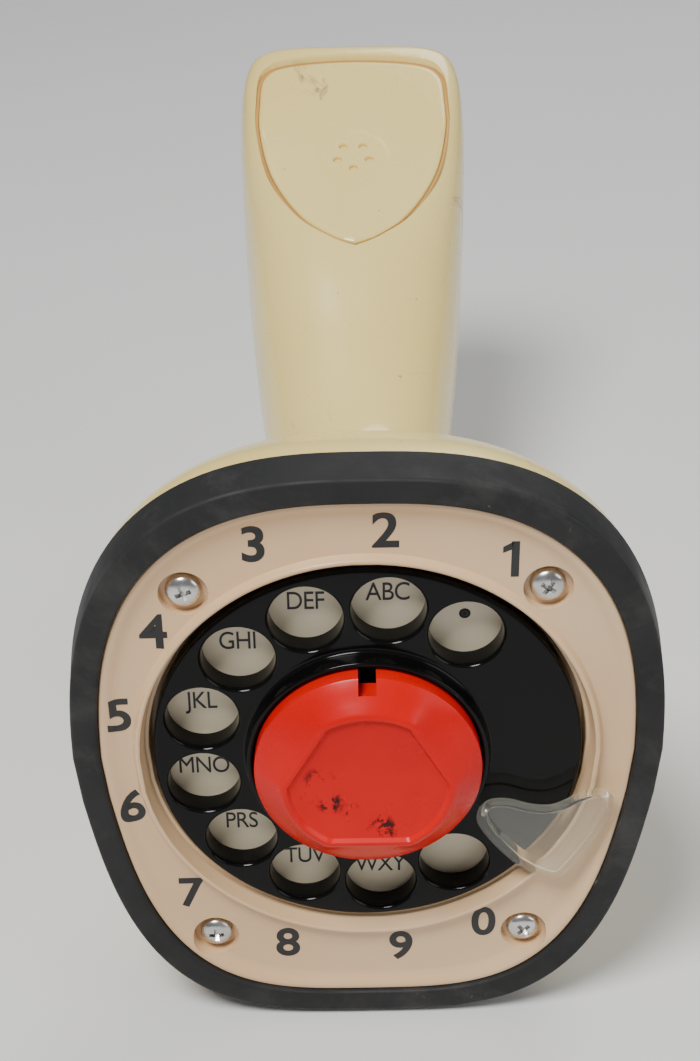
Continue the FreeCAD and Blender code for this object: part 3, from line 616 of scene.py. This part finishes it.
# ---------------------------------------------------------------- finger wheel
FIRST_HOLE = 55.3
HOLE_PITCH = 27.36
HOLE_CIRCLE = 28.6
wheel_profile = rounded([(36.2, 2.5), (20.6, 2.5), (20.3, -0.5), (19.35, -0.5), (19.35, 7.5), (6.05, 7.5),
                         (6.05, 8.6), (20.3, 8.6), (20.3, 6.7), (36.2, 6.7)], 0.75, 5)
wheel = turned("finger_wheel_visual", wheel_profile, "dial_rotor", GLOSS, ("finger_wheel",), 192)
cutters = []
for k in range(10):
    turn = math.radians(FIRST_HOLE + k * HOLE_PITCH)
    centre = (HOLE_CIRCLE * math.cos(turn), HOLE_CIRCLE * math.sin(turn))
    cutters.append(turned_tool([(7.6, 1.9), (6.65, 2.42), (6.35, 2.62), (6.15, 3.0), (6.1, 3.6), (6.1, 9)],
                               centre, GLOSS, 64))
boolean(wheel, cutters)

# ---------------------------------------------------------------- red hook button
FLATS = [math.radians(a) for a in (30, 150, 270)]


def face_radius(turn, shrink):
    """The flat face: a circle with three flats."""
    reach = 14.5 - shrink
    for middle in FLATS:
        lean = math.cos(turn - middle)
        if lean > 0.3:
            reach = min(reach, (12.7 - shrink) / lean)
    return reach


BUTTON_STEPS = 180
button_loops = []
for radius, y in ((19.0, 0.3), (19.05, -2.3), (18.98, -2.75), (18.75, -3.0)):
    button_loops.append((radius, None, y))
for mix_in, y in ((0.35, -4.2), (0.7, -5.5), (0.95, -6.5)):
    button_loops.append((18.75, mix_in, y))
for shrink, y in ((0.15, -6.8), (0.5, -6.95), (1.0, -6.9), (1.25, -6.6), (1.5, -6.3), (1.9, -6.25), (7.0,
                                                                                                     -6.25)):
    button_loops.append((0.0, -shrink, y))
loops = []
for radius, kind, y in button_loops:
    loop = []
    for k in range(BUTTON_STEPS):
        turn = 2 * math.pi * k / BUTTON_STEPS
        reach = radius
        if kind is not None and kind > 0:
            reach = radius + (face_radius(turn, 0.0) - radius) * kind
        elif kind is not None:
            reach = face_radius(turn, -kind)
        loop.append(at(reach * math.cos(turn), y, reach * math.sin(turn)))
    loops.append(loop)
verts, faces = loops_surface(loops, cap_first=True, cap_last=True)
button = piece("hook_button_visual", verts, faces, "hook", RED, True, ("hook_button",))
notch = []
for y in (-4.6, 2.0):
    for x, z in ((-1.45, 15.9), (1.45, 15.9), (1.45, 21.0), (-1.45, 21.0)):
        notch.append(at(x, y, z))
BOX_FACES = [(0, 1, 2, 3), (4, 5, 6, 7), (0, 1, 5, 4), (1, 2, 6, 5), (2, 3, 7, 6), (3, 0, 4, 7)]
boolean(button, [tool("notch", notch, BOX_FACES, RED)])

# ---------------------------------------------------------------- clear finger stop
STOP_OUTLINE = [(39.4, -7.6), (36.6, -8.2), (33.3, -10.1), (30.6, -10.9), (27.2, -10.6), (23.4, -9.4),
                (20.9, -9.6),
                (20.2, -11.8), (21.3, -14.2), (24.0, -17.9), (27.2, -21.2), (31.4, -23.6), (33.2, -23.0),
                (36.4, -18.0), (39.2, -12.5), (40.2, -9.0)]
STOP_STEPS = 8


def closed_curve(points, steps):
    out = []
    count = len(points)
    for i in range(count):
        a, b, c, d = (Vector(points[(i + j) % count]) for j in (-1, 0, 1, 2))
        for k in range(steps):
            t = k / steps
            out.append(0.5 * (2 * b + (c - a) * t + (2 * a - 5 * b + 4 * c - d) * t * t
                              + (3 * b - a - 3 * c + d) * t * t * t))
    return out


def inset_curve(curve, amount):
    out = []
    count = len(curve)
    for i in range(count):
        along = (curve[(i + 1) % count] - curve[i - 1]).normalized()
        out.append(curve[i] + Vector((along.y, -along.x)) * amount)
    return out


stop_curve = closed_curve(STOP_OUTLINE, STOP_STEPS)
stop_loops = []
for amount, y in ((0.5, 0.75), (0.12, 0.6), (0.0, 0.3), (0.0, -0.9), (0.15, -1.25), (0.5, -1.4), (0.95, -1.3),
                  (1.3, -0.95), (1.8, -0.85)):
    stop_loops.append([at(p.x, y, p.y) for p in inset_curve(stop_curve, amount)])
verts, faces = loops_surface(stop_loops, cap_first=True, cap_last=True)
stop = piece("finger_stop_visual", verts, faces, "housing", CLEAR, True, ("finger_stop",))
soften(stop, 45)

# ---------------------------------------------------------------- digits and letters
INK_DEPTH = 0.03


def add_flag(mesh):
    """The slanted stroke at the top of the digit one."""
    xs = [v.co.x for v in mesh.vertices]
    top = max(v.co.y for v in mesh.vertices)
    left = min(xs)
    corners = [(left + 0.4 * MM, top), (left - 1.35 * MM, top - 1.0 * MM), (left - 1.35 * MM, top - 2.1 * MM),
               (left + 0.4 * MM, top - 1.3 * MM)]
    bm = bmesh.new()
    bm.from_mesh(mesh)
    high = [bm.verts.new((x, y, INK_DEPTH * MM)) for x, y in corners]
    low = [bm.verts.new((x, y, -INK_DEPTH * MM)) for x, y in corners]
    bm.faces.new(high[::-1])
    bm.faces.new(low)
    for i in range(4):
        n = (i + 1) % 4
        bm.faces.new((low[n], low[i], high[i], high[n]))
    bmesh.ops.recalc_face_normals(bm, faces=bm.faces)
    bm.to_mesh(mesh)
    bm.free()


def lay_on(mesh, ground, level):
    """Bends flat print on to the surface behind it."""
    bm = bmesh.new()
    bm.from_mesh(mesh)
    bmesh.ops.triangulate(bm, faces=bm.faces)
    bmesh.ops.subdivide_edges(bm, edges=bm.edges, cuts=3, use_grid_fill=True)
    for v in bm.verts:
        hit = ground.ray_cast(Vector((v.co.x, level - 0.01, v.co.z)), Vector((0, 1, 0)))[0]
        if hit is not None:
            v.co.y = hit.y + (v.co.y - level) * 1.5
    bm.to_mesh(mesh)
    bm.free()


def print_text(name, text, size, x, y, z, bold, body, ground=None, narrow=1.0):
    """Flat printed characters, facing the foot's front."""
    curve = bpy.data.curves.new(name, "FONT")
    curve.body = text
    curve.size = size * MM
    curve.align_x = "CENTER"
    curve.align_y = "CENTER"
    curve.extrude = INK_DEPTH * MM
    curve.offset = bold * MM
    curve.resolution_u = 6
    curve.space_character = 0.94
    maker = bpy.data.objects.new(name + "_curve", curve)
    bpy.context.scene.collection.objects.link(maker)
    depsgraph = bpy.context.evaluated_depsgraph_get()
    mesh = bpy.data.meshes.new_from_object(maker.evaluated_get(depsgraph))
    bpy.data.objects.remove(maker)
    place = at(x, y, z)
    if text == "1":
        add_flag(mesh)
    mesh.transform(Matrix.Translation(place) @ Matrix.Rotation(math.radians(90), 4, "X")
                   @ Matrix.Diagonal((narrow, 1, 1, 1)))
    if ground is not None:
        lay_on(mesh, ground, place.y)
    mesh.materials.clear()
    mesh.materials.append(INK)
    obj = bpy.data.objects.new(name, mesh)
    bpy.context.scene.collection.objects.link(obj)
    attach(obj, body)
    return obj


plate_ground = BVHTree.FromPolygons([v.co for v in plate.data.vertices],
                                    [tuple(p.vertices) for p in plate.data.polygons])
LETTER_GROUPS = ["", "ABC", "DEF", "GHI", "JKL", "MNO", "PRS", "TUV", "WXY"]
DIGIT_PLACES = [(23.7, 37.6), (3.2, 43.4), (-17.6, 41.2), (-34.4, 25.0), (-41.2, 8.6), (-40.4, -10.6),
                (-31.6, -30.4), (-14.8, -42.6), (5.6, -43.8), (20.4, -38.4)]
DIGIT_SIZE = 9.0
DIGIT_Y = 2.16
DIGIT_BOLD = 0.2
LETTER_SIZE = 4.9
LETTER_Y = 7.56
LETTER_NARROW = 0.8
LETTER_REACH_X = 28.9
LETTER_REACH_Z = 29.0
for k in range(10):
    angle = math.radians(FIRST_HOLE + k * HOLE_PITCH)
    digit = str((k + 1) % 10)
    print_text("digit_" + digit, digit, DIGIT_SIZE, DIGIT_PLACES[k][0], DIGIT_Y, DIGIT_PLACES[k][1],
               DIGIT_BOLD,
               "housing", plate_ground)
    if k == 0:
        turned("letters_dot", [(0.95, 7.54), (0.95, 7.62), (0.02, 7.62), (0.02, 7.54)], "housing",
               INK, (), 32, (HOLE_CIRCLE * math.cos(angle), HOLE_CIRCLE * math.sin(angle) + 0.9))
        continue
    if k < len(LETTER_GROUPS):
        print_text("letters_%d" % (k + 1), LETTER_GROUPS[k], LETTER_SIZE,
                   LETTER_REACH_X * math.cos(angle), LETTER_Y,
                   LETTER_REACH_Z * math.sin(angle), 0.0, "housing", None, LETTER_NARROW)

# ---------------------------------------------------------------- floor, lights and camera
floor_mesh = bpy.data.meshes.new("floor")
FLOOR_HALF = 3.0
floor_mesh.from_pydata([(-FLOOR_HALF, -FLOOR_HALF, 0), (FLOOR_HALF, -FLOOR_HALF, 0), (FLOOR_HALF,
                                                                                      FLOOR_HALF, 0),
                        (-FLOOR_HALF, FLOOR_HALF, 0)], [], [(0, 1, 2, 3)])
floor_look = Mat("floor_paint")
floor_tone = floor_look.colour_mix(floor_look.noise(6), (0.70, 0.70, 0.69), (0.74, 0.74, 0.73))
floor_mesh.materials.append(floor_look.finish(floor_tone, 0.65))
floor = bpy.data.objects.new("floor", floor_mesh)
bpy.context.scene.collection.objects.link(floor)


def area_light(name, place, target, size, power, colour=(1, 1, 1)):
    data = bpy.data.lights.new(name, "AREA")
    data.shape = "DISK"
    data.size = size
    data.energy = power
    data.color = colour
    obj = bpy.data.objects.new(name, data)
    obj.location = place
    obj.rotation_euler = (Vector(target) - Vector(place)).to_track_quat("-Z", "Y").to_euler()
    bpy.context.scene.collection.objects.link(obj)


TARGET = (0, -0.02, 0.05)
area_light("key", (-0.3, -0.55, 1.0), TARGET, 0.4, 15)
area_light("fill", (0.8, -0.45, 0.45), TARGET, 0.6, 2.2)
area_light("back", (0.3, 0.75, 0.85), TARGET, 0.6, 4)
world = bpy.data.worlds.new("studio")
world.use_nodes = True
world.node_tree.nodes["Background"].inputs["Color"].default_value = (0.9, 0.92, 0.95, 1)
world.node_tree.nodes["Background"].inputs["Strength"].default_value = 0.26
bpy.context.scene.world = world

CAMERA_ELEVATION = 30.45
CAMERA_ROLL = -0.97
FOCAL_HEIGHTS = 1800 / 1061
camera_data = bpy.data.cameras.new("camera")
camera_data.sensor_fit = "VERTICAL"
camera_data.sensor_height = 24.0
camera_data.lens = camera_data.sensor_height * FOCAL_HEIGHTS
camera = bpy.data.objects.new("camera", camera_data)
camera.matrix_world = (Matrix.Translation(at(-2.35, -240.45, 186.37))
                       @ Matrix.Rotation(math.radians(90 - CAMERA_ELEVATION), 4, "X")
                       @ Matrix.Rotation(math.radians(CAMERA_ROLL), 4, "Z"))
bpy.context.scene.collection.objects.link(camera)
bpy.context.scene.camera = camera
